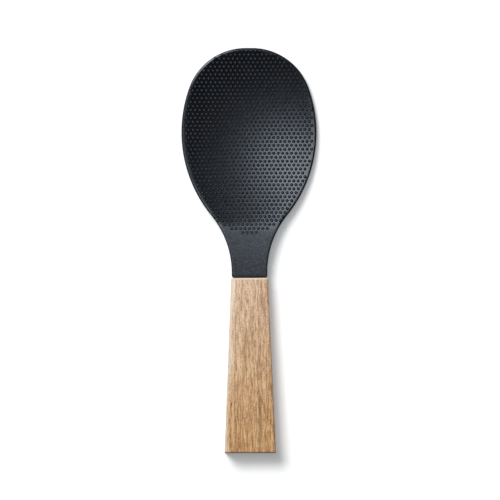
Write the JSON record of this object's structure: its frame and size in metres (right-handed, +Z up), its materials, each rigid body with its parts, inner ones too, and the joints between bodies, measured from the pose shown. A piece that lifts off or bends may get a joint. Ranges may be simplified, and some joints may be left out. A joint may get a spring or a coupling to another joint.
{
  "type": "rice paddle",
  "caption": "Rice paddle: a shallow dished oval nylon blade covered in small raised bumps, its slim neck glued into a tapered rectangular wooden handle.",
  "frame": {"origin": "middle of the paddle's length and width, on the surface that it lies on", "axes": "+Y towards the tip of the blade, +Z up out of the hollow of the blade, +X to the right seen from above with the tip away from the viewer"},
  "size_m": [0.0742, 0.2222, 0.016],
  "materials": {
    "nylon": "satin",
    "wood": "oiled, fine open pores",
    "cured_glue": "clear amber"
  },
  "bodies": {
    "root": {"head": "nylon", "handle": "wood", "glue_bond": "cured_glue"}
  },
  "joints": []
}
